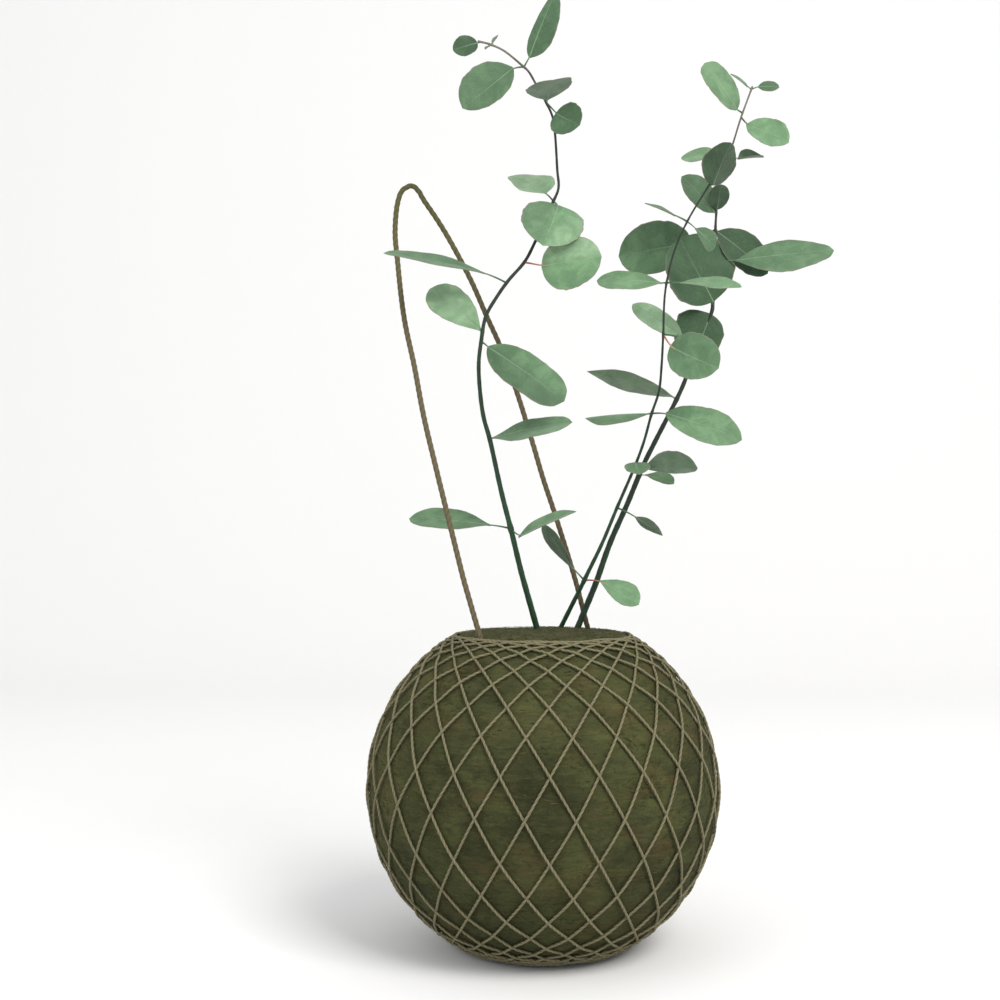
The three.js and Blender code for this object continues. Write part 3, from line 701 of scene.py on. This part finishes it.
def moss_mat(material):
    rows = moss_profile()
    angle = np.arange(MOSS_SIDES) * TURN / MOSS_SIDES
    r, z = rows[:, 0][:, None], rows[:, 1][:, None]
    level = np.broadcast_to(z, (len(rows), MOSS_SIDES))
    points = np.stack([r * np.sin(angle), -r * np.cos(angle), level], -1).reshape(-1, 3)
    longitude = np.arctan2(points[:, 0], -points[:, 1])
    radius = np.linalg.norm(points, axis=1)
    latitude = np.arcsin(np.clip(points[:, 2] / radius, -1, 1))
    near = net_distance(longitude, latitude)
    on_side = (np.abs(np.degrees(latitude)) < NET_EDGE) & (radius > MOSS_R - 0.5)
    pillow = np.where(on_side, CELL_PILLOW * np.clip(near / 0.5, 0, 1) ** 0.6 - STRAND_DIP, 0)
    lumps = sum(point_noise(points, scale, seed) * height for scale, seed, height in LUMPS)
    on_top = np.clip((points[:, 2] - TOP_RISE + TOP_BLEND) / TOP_BLEND, 0, 1)
    floor = np.clip((points[:, 2] + BALL_Z) / FLOOR_BLEND, 0, 1)
    share = np.where(on_side, SIDE_LUMP_SHARE, SPOT_LUMP_SHARE)
    side_push = (pillow + lumps * share) * floor * (1 - on_top)
    points = points + points / radius[:, None] * side_push[:, None]
    points[:, 2] += on_top * lumps * TOP_LUMP_SHARE
    points[:, 2] = np.maximum(points[:, 2], -BALL_Z) + BALL_Z
    # mask for painted shade on the moss beside the strands
    strand_shade = np.where(on_side, np.clip(1 - near * 6, 0, 1), 0)
    facts = np.stack([strand_shade, on_top, np.zeros(len(points))], 1)
    mesh_object("moss_surface", points, tube_faces(len(rows), MOSS_SIDES), "moss_mat", "moss",
                [material], facts=facts)


def fibre_strips(name, material, centre_at, across, half_width, tone, lift_z=0.0):
    """Thin strips of three quads each. centre_at gives the middles at a share of the length."""
    count = len(across)
    edges = []
    for t, w in FIBRE_STATIONS:
        centre = centre_at(t)
        edges += [centre - across * half_width * w, centre + across * half_width * w]
    points = np.stack(edges, 1).reshape(-1, 3) + [0, 0, lift_z]
    corners = len(edges)
    start = (np.arange(count) * corners)[:, None, None]
    quads = np.array([[k, k + 1, k + 3, k + 2] for k in range(0, corners - 2, 2)])[None]
    facts = np.repeat(np.stack([tone, np.zeros(count), np.zeros(count)], 1), corners, axis=0)
    batch = Batch()
    batch.add(points, (start + quads).reshape(-1, 4), facts=facts)
    batch.build(name, "moss_mat", "moss", [material])


def moss_fibres(material, count):
    latitude = np.arcsin(LOWEST_FIBRE + rng.random(count) * (HIGHEST_FIBRE - LOWEST_FIBRE))
    longitude = rng.random(count) * TURN
    keep = net_distance(longitude, latitude) > TWINE_CLEARANCE
    latitude, longitude = latitude[keep], longitude[keep]
    n = len(latitude)
    outward = np.stack([np.cos(latitude) * np.sin(longitude), -np.cos(latitude) * np.cos(longitude),
                        np.sin(latitude)], 1)
    east = np.stack([np.cos(longitude), np.sin(longitude), np.zeros(n)], 1)
    north = np.cross(outward, east)
    heading = rng.normal(0, HEADING_SPREAD, n) + math.pi * (rng.random(n) < 0.5)
    forward = east * np.cos(heading)[:, None] + north * np.sin(heading)[:, None]
    across = np.cross(outward, forward)
    length = rng.uniform(*SIDE_LENGTHS, n)[:, None]
    half_width = rng.uniform(*SIDE_HALF_WIDTHS, n)[:, None]
    base = outward * rng.uniform(*SIDE_SEATS, n)[:, None]
    lift = rng.uniform(*SIDE_LIFTS, n)[:, None]
    bow = rng.normal(0, BOW_SPREAD, n)[:, None]
    tone = np.clip(rng.normal(0.45, 0.25, n), 0, 1)

    def centre_at(t):
        arch = outward * lift * math.sin(math.pi * (0.15 + 0.6 * t))
        return base + forward * length * t + arch + across * bow * length * t * t

    fibre_strips("moss_fibres", material, centre_at, across, half_width, tone, BALL_Z)


def top_fibres(material, count):
    r = TOP_FIBRE_R * np.sqrt(rng.random(count))
    a = rng.random(count) * TURN
    base = np.stack([r * np.sin(a), -r * np.cos(a), np.full(count, BALL_Z + TOP_RISE + TOP_SEAT)], 1)
    base[:, 2] += TOP_CROWN * (1 - (r / TOP_CROWN_R) ** 2)
    heading = rng.random(count) * TURN
    forward = np.stack([np.cos(heading), np.sin(heading), np.zeros(count)], 1)
    across = np.stack([-np.sin(heading), np.cos(heading), np.zeros(count)], 1)
    length = rng.uniform(*TOP_LENGTHS, count)[:, None]
    half_width = rng.uniform(*TOP_HALF_WIDTHS, count)[:, None]
    lift = rng.uniform(*TOP_LIFTS, count)[:, None]
    tone = np.clip(rng.normal(0.55, 0.2, count), 0, 1)

    def centre_at(t):
        return base + forward * length * t + UP * lift * math.sin(math.pi * (0.1 + 0.6 * t))

    fibre_strips("moss_top_fibres", material, centre_at, across, half_width, tone)


# Twine net and loop

def circle_path(index):
    """One winding of the net, passing over and under the others in turn."""
    node = NET_TURN + index * TURN / NET_CIRCLES
    t = np.arange(NET_STEPS) * TURN / NET_STEPS
    ascending = np.array([math.sin(node), -math.cos(node), 0])
    east = np.array([math.cos(node), math.sin(node), 0])
    highest = east * math.cos(NET_TILT) + UP * math.sin(NET_TILT)
    outward = np.cos(t)[:, None] * ascending + np.sin(t)[:, None] * highest
    relative = np.arctan2(np.sin(t) * math.cos(NET_TILT), np.cos(t))
    weave = np.cos(relative / math.radians(180 / NET_CIRCLES) * math.pi)
    side = np.clip(np.cos(relative) * WEAVE_SHARPNESS, -1, 1)
    latitude = np.arcsin(outward[:, 2])
    crowd = np.clip((np.abs(np.degrees(latitude)) - CROWD_START) / CROWD_SPAN, 0, 1)
    # each winding lies a little differently in the pile at the rim
    pile = PILE_LIFT[0] + PILE_LIFT[1] * math.sin(index * 2.4)
    shift = PILE_SHIFT[0] + PILE_SHIFT[1] * math.sin(index * 4.1)
    radius = NET_R + WEAVE_HEIGHT * weave * side * (1 - 0.6 * crowd) + crowd * pile
    path = outward * radius[:, None]
    path[:, 2] -= crowd * np.sign(latitude) * shift
    tangent = unit(np.roll(path, -1, 0) - np.roll(path, 1, 0))
    normal = unit(outward - tangent * (outward * tangent).sum(1, keepdims=True))
    return path + [0, 0, BALL_Z], normal, np.cross(tangent, normal)


def twine_net(material):
    length = TURN * NET_R
    along = np.arange(NET_STEPS) * length / NET_STEPS
    pitch = length / round(length / TWINE_PITCH)
    for part in range(NET_PARTS):
        batch = Batch()
        for index in range(part, NET_CIRCLES, NET_PARTS):
            path, normal, binormal = circle_path(index)
            ring, ridge = twisted(path, normal, binormal, along, TWINE_R, TWINE_SIDES, pitch, TWINE_LOBES,
                                  TWINE_GROOVE, index * 1.3)
            facts = np.stack([ridge, np.repeat(along, TWINE_SIDES), np.full(len(ridge), index * 3.7)], 1)
            batch.add(ring, tube_faces(NET_STEPS, TWINE_SIDES, closed=True), facts=facts)
        batch.build("twine_strands_%d" % (part + 1), "twine_net", "twine", [material])


def hanging_loop(material):
    path, along = centripetal(LOOP_ROUTE, LOOP_STEPS)
    visible = path[:, 2] > BURIED_Z
    path, along = straight_foot(path)[visible], along[visible]
    normals, binormals = carried_frames(path)
    ring, ridge = twisted(path, normals, binormals, along, LOOP_R, LOOP_SIDES, LOOP_PITCH, LOOP_LOBES,
                          LOOP_GROOVE)
    facts = np.stack([ridge, np.repeat(along, LOOP_SIDES), np.zeros(len(ridge))], 1)
    batch = Batch()
    batch.add(ring, tube_faces(len(path), LOOP_SIDES), facts=facts)
    batch.build("loop_cord", "hanging_loop", "loop_cord", [material])


# Leafy stems

def smooth_interp(x, xs, ys):
    """Monotone cubic through the points."""
    xs, ys = np.asarray(xs, float), np.asarray(ys, float)
    h, d = np.diff(xs), np.diff(ys) / np.diff(xs)
    m = np.zeros(len(xs))
    m[1:-1] = np.where(d[:-1] * d[1:] > 0, 2 * d[:-1] * d[1:] / (d[:-1] + d[1:] + 1e-12), 0)
    m[0], m[-1] = d[0], d[-1]
    i = np.clip(np.searchsorted(xs, x, side="right") - 1, 0, len(h) - 1)
    t = (x - xs[i]) / h[i]
    return ((2 * t**3 - 3 * t**2 + 1) * ys[i] + (t**3 - 2 * t**2 + t) * h[i] * m[i]
            + (-2 * t**3 + 3 * t**2) * ys[i + 1] + (t**3 - t**2) * h[i] * m[i + 1])


def direction(heading, rise):
    h, r = math.radians(heading), math.radians(rise)
    return np.array([math.cos(h) * math.cos(r), math.sin(h) * math.cos(r), math.sin(r)])


def rotate(v, axis, angle):
    along_axis = axis * np.dot(axis, v) * (1 - math.cos(angle))
    return v * math.cos(angle) + np.cross(axis, v) * math.sin(angle) + along_axis


def blade_faces(rows, cols, flipped):
    """Faces of the upper grid, the lower grid and the border between them, and their materials."""
    i, k = np.meshgrid(np.arange(rows - 1), np.arange(cols - 1), indexing="ij")
    a = (i * cols + k).ravel()
    quads = np.stack([a, a + cols, a + cols + 1, a + 1], 1)
    total = rows * cols
    edge = np.concatenate([np.arange(cols), cols - 1 + cols * np.arange(1, rows),
                           (rows - 1) * cols + np.arange(cols - 2, -1, -1),
                           cols * np.arange(rows - 2, 0, -1)])
    following = np.roll(edge, -1)
    border = np.stack([edge, following, following + total, edge + total], 1)
    if flipped:
        quads, border = quads[:, ::-1], border[:, ::-1]
    faces = np.vstack([quads, quads[:, ::-1] + total, border])
    materials = np.repeat([0, 1, 0], [len(quads), len(quads), len(border)])
    return faces, materials


def blade(batch, start, spec, seed):
    """Adds one leaf blade and returns the direction of its midrib."""
    local = np.random.default_rng(seed)
    forward = direction(spec["heading"], spec["rise"])
    turn = math.radians(spec["face"]) * np.sign(math.cos(math.radians(spec["heading"])))
    side = rotate(direction(spec["heading"] + 90, 0), forward, turn)
    upper = np.cross(forward, side)
    length, width = spec["length"], spec["width"]
    share = 0.5 - 0.5 * np.cos(np.linspace(0, math.pi, ALONG_STEPS + 1))
    v = np.sin(np.linspace(-1, 1, ACROSS_STEPS + 1) * math.pi / 2)
    half = smooth_interp(share, WIDTH_STATIONS, WIDTHS[spec["shape"]]) * width / 2
    left = 1 + local.normal(0, HALF_SPREAD)
    s, c = share[:, None], v[None, :]
    h = half[:, None] * np.where(c < 0, left, 2 - left) * (1 + np.sign(c) * spec.get("lean", 0))

    # unevenness: the midrib sways, the blade waves and twists, and the outline is not quite smooth
    phase = local.random(3) * 6.28
    sway = width * SWAY * np.sin(s * 3.1 + phase[0]) * s
    lift = (spec.get("fold", FOLD) * h * np.abs(c) ** 1.35 - DROOP * length * s**2
            + width * EDGE_WAVE * np.sin(s * 9 + phase[1] + c * 1.2) * c**2 * np.sin(s * math.pi)
            + width * TWIST_WAVE * np.sin(s * 5 + phase[2]) * c * np.sin(s * math.pi))
    long_wave, short_wave = OUTLINE_WAVES
    outline = 1 + long_wave * np.sin(s * 31 + phase[2]) + short_wave * np.sin(s * 53 + phase[0])
    centre = start + forward * (length * s)[..., None]
    points = centre + side * (h * c * outline + sway)[..., None] + upper * lift[..., None]

    # two faces, with the midrib in a groove above and standing out below
    normal = unit(np.cross(np.gradient(points, axis=0), np.gradient(points, axis=1)))
    normal = np.where((normal @ upper)[..., None] < 0, -normal, normal)
    thin_tip = np.where(s > TIP_START, 0.5, 1)
    thick = BLADE_THICKNESS / 2 * (0.35 + 0.65 * (1 - np.abs(c) ** 4)) * thin_tip
    rib = MIDRIB_HEIGHT * np.exp(-((h * c) / MIDRIB_HALF_WIDTH) ** 2) * (1 - 0.7 * s)
    above = points + normal * (thick - rib * GROOVE_SHARE)[..., None]
    below = points - normal * (thick + rib * RIDGE_SHARE)[..., None]

    def spread(values):
        return np.broadcast_to(values, (share.size, v.size)).reshape(-1)

    base_shade = BASE_SHADE * np.exp(-s / BASE_SHADE_LENGTH) * (1 - 0.6 * np.abs(c))
    # painted shade: halves darkens one half of a blade as light falls across it, and the tone itself is
    # partly painted shade
    tone = spec["tone"] + spec.get("halves", 0) * np.tanh(c * 4) + base_shade
    blade_facts = np.stack([spread(s), spread(c), spread(tone)], 1)
    # a different pattern on each leaf and each half
    pattern = seed * 7.3 % 97 + np.where(c < 0, 0.0, 3.3)
    reach = np.stack([spread(s * length), spread(np.abs(h * c)), spread(pattern)], 1)
    first_turn = np.cross(points[1, 1] - points[0, 1], points[1, 2] - points[1, 1])
    faces, materials = blade_faces(share.size, v.size, np.dot(first_turn, upper) < 0)
    batch.add(np.vstack([above.reshape(-1, 3), below.reshape(-1, 3)]), faces, materials,
              blade=np.vstack([blade_facts, blade_facts]), reach=np.vstack([reach, reach]), facts=(0, 0, 0))
    return forward


def stalk(batch, root, tip, forward, material, thick):
    """A leaf stalk that leaves the stem, bows a little and runs on under the midrib."""
    span = np.linalg.norm(tip - root)
    end = tip + forward * min(STALK_REACH, 0.5 + span * 0.4)
    t = np.linspace(0, 1, STALK_STEPS)[:, None]
    middle = (root + tip) / 2 + np.array([0, 0, STALK_BOW * span])
    path = (1 - t) ** 3 * root + 3 * (1 - t) ** 2 * t * middle + 3 * (1 - t) * t**2 * tip + t**3 * end
    normals, binormals = carried_frames(path)
    radius = thick * (STALK_FOOT - STALK_TAPER * t)
    rings, angle = rings_about(path, normals, binormals, radius, STALK_SIDES)
    facts = np.stack([np.repeat(t[:, 0], STALK_SIDES), np.tile(angle, STALK_STEPS),
                      np.zeros(STALK_STEPS * STALK_SIDES)], 1)
    batch.add(rings.reshape(-1, 3), tube_faces(STALK_STEPS, STALK_SIDES), material, facts=facts,
              blade=(0, 0, 0), reach=(0, 0, 0))


def stem_radius(stem, along):
    """Radius along the stem: tapered, swollen where a leaf stands and a little uneven."""
    share = along / along[-1]
    radius = stem["tip"] + (stem["foot"] - stem["tip"]) * (1 - share) ** stem["taper"]
    for spec in stem["leaves"]:
        radius = radius * (1 + JOINT_SWELLING * np.exp(-((along - spec["along"]) / JOINT_LENGTH) ** 2))
    return radius * sum((height * np.sin(along * rate) for height, rate in STEM_RIPPLES), start=1)


def leafy_stem(stem, slot, faces, bark, stalks):
    path, along = centripetal(stem["route"], STEM_STEPS)
    radius = stem_radius(stem, along)
    path = straight_foot(path)
    normals, binormals = carried_frames(path)
    rings, angle = rings_about(path, normals, binormals, radius[:, None], STEM_SIDES)
    seen = path[:, 2] > BURIED_Z
    rings, shown = rings[seen], (along / along[-1])[seen]
    cap = len(shown) * STEM_SIDES
    points = np.vstack([rings.reshape(-1, 3), path[-1] + unit(path[-1] - path[-2]) * STEM_CAP])
    facts = np.stack([np.repeat(shown, STEM_SIDES), np.tile(angle, len(shown)), np.zeros(cap)], 1)
    body = Batch()
    body.add(points, tube_faces(len(shown), STEM_SIDES), facts=np.vstack([facts, [[1, 0, 0]]]))
    body.fan(cap - STEM_SIDES, STEM_SIDES, cap)
    body.build(stem["node"] + "_bark", stem["node"], slot, [bark])
    leaves = Batch()
    for number, spec in enumerate(stem["leaves"]):
        root = np.array([np.interp(spec["along"], along, path[:, a]) for a in range(3)])
        out = direction(spec.get("stalk_heading", spec["heading"]), spec.get("stalk_rise", spec["rise"]))
        start = root + out * spec["stalk"]
        forward = blade(leaves, start, spec, number * 17 + len(stem["leaves"]))
        thick = STALK_R if spec["length"] > SMALL_LEAF else SMALL_STALK_R
        stalk(leaves, root, start, forward, 2 if spec.get("red") else 3, thick)
    leaves.build(stem["node"] + "_leaves", stem["node"], slot, [*faces, *stalks])


# The plant

moss = moss_material()
fibres = fibre_material()
moss_mat(moss)
moss_fibres(fibres, SIDE_FIBRES)
top_fibres(fibres, TOP_FIBRES)
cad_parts["soil_core"].data.materials.clear()
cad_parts["soil_core"].data.materials.append(soil_material())
twine_net(twine_material("twine", rgb("908b70"), rgb("787359"), rgb("595541"), 0.45))
hanging_loop(twine_material("loop_cord", rgb("7a7058"), rgb("675e48"), rgb("504836"), 0.35, rgb("e8f8dc")))

leaf_faces = (
    leaf_material("leaf_upper", rgb("96b090"), rgb("688b65"), rgb("4e6c4d"), rgb("2c4a2c"), rgb("93ad8e"),
                  underside=False),
    leaf_material("leaf_underside", rgb("8fa48a"), rgb("738a6f"), rgb("5c705b"), rgb("344b33"), rgb("8a9c86"),
                  underside=True),
)
stalks = (
    stalk_material("stalk_red", rgb("8d4a3a"), rgb("b98a6c")),
    stalk_material("stalk_green", rgb("2f4a30"), rgb("6f8c68")),
)
bark = stem_material("stem_bark", rgb("20472a"), rgb("222e26"), rgb("837a72"))
dark_bark = stem_material("stem_bark_dark", rgb("1b3a23"), rgb("222c24"), rgb("3b3a34"))
leafy_stem(LEFT_STEM, "sage_leaf", leaf_faces, bark, stalks)
leafy_stem(MIDDLE_STEM, "light_leaf", leaf_faces, bark, stalks)
leafy_stem(RIGHT_STEM, "dark_leaf", leaf_faces, dark_bark, stalks)


# Stage, light and camera

def stage():
    """A pale floor that turns up into a wall far behind."""
    bend = np.linspace(BEND_START, math.pi / 2, BEND_STEPS)
    profile = [(FLOOR_FRONT, 0.0), (FLOOR_BACK, 0.0)]
    profile += [(FLOOR_BACK + WALL_BEND * math.sin(a), WALL_BEND - WALL_BEND * math.cos(a)) for a in bend]
    profile += [(FLOOR_BACK + WALL_BEND, WALL_TOP)]
    verts = [(x, y, z) for y, z in profile for x in (-FLOOR_HALF_WIDTH, FLOOR_HALF_WIDTH)]
    faces = [(2 * i, 2 * i + 1, 2 * i + 3, 2 * i + 2) for i in range(len(profile) - 1)]
    mesh = bpy.data.meshes.new("studio_floor")
    mesh.from_pydata(verts, [], faces)
    mesh.polygons.foreach_set("use_smooth", [True] * len(faces))
    m = Nodes("studio_floor")
    mesh.materials.append(m.finish((0.86, 0.86, 0.86, 1), None, 0.9, Specular_IOR_Level=0.1))
    obj = bpy.data.objects.new("studio_floor", mesh)
    bpy.context.scene.collection.objects.link(obj)


def area_light(name, position, size, power, colour):
    data = bpy.data.lights.new(name, "AREA")
    data.shape = "SQUARE"
    data.size = size
    data.energy = power
    data.color = colour
    obj = bpy.data.objects.new(name, data)
    obj.location = position
    obj.rotation_euler = (Vector(LIGHT_TARGET) - Vector(position)).to_track_quat("-Z", "Y").to_euler()
    bpy.context.scene.collection.objects.link(obj)


stage()
area_light("key", (0.9, -1.1, 1.5), 0.9, 30, (1, 0.985, 0.96))
area_light("fill", (-1.3, -0.9, 0.9), 1.2, 6, (0.96, 0.98, 1))

world = bpy.data.worlds.new("soft_studio")
world.use_nodes = True
world.node_tree.nodes["Background"].inputs["Color"].default_value = (1, 1, 1, 1)
world.node_tree.nodes["Background"].inputs["Strength"].default_value = WORLD_STRENGTH
bpy.context.scene.world = world

camera = bpy.data.cameras.new("camera")
camera.sensor_width = CAMERA_SENSOR
camera.lens = CAMERA_LENS
camera.clip_start = 0.01
camera_object = bpy.data.objects.new("camera", camera)
camera_object.location = CAMERA_PLACE
camera_object.rotation_euler = (math.radians(CAMERA_PITCH), 0, math.radians(CAMERA_YAW))
bpy.context.scene.collection.objects.link(camera_object)
bpy.context.scene.camera = camera_object
bpy.context.scene.view_settings.view_transform = "Standard"
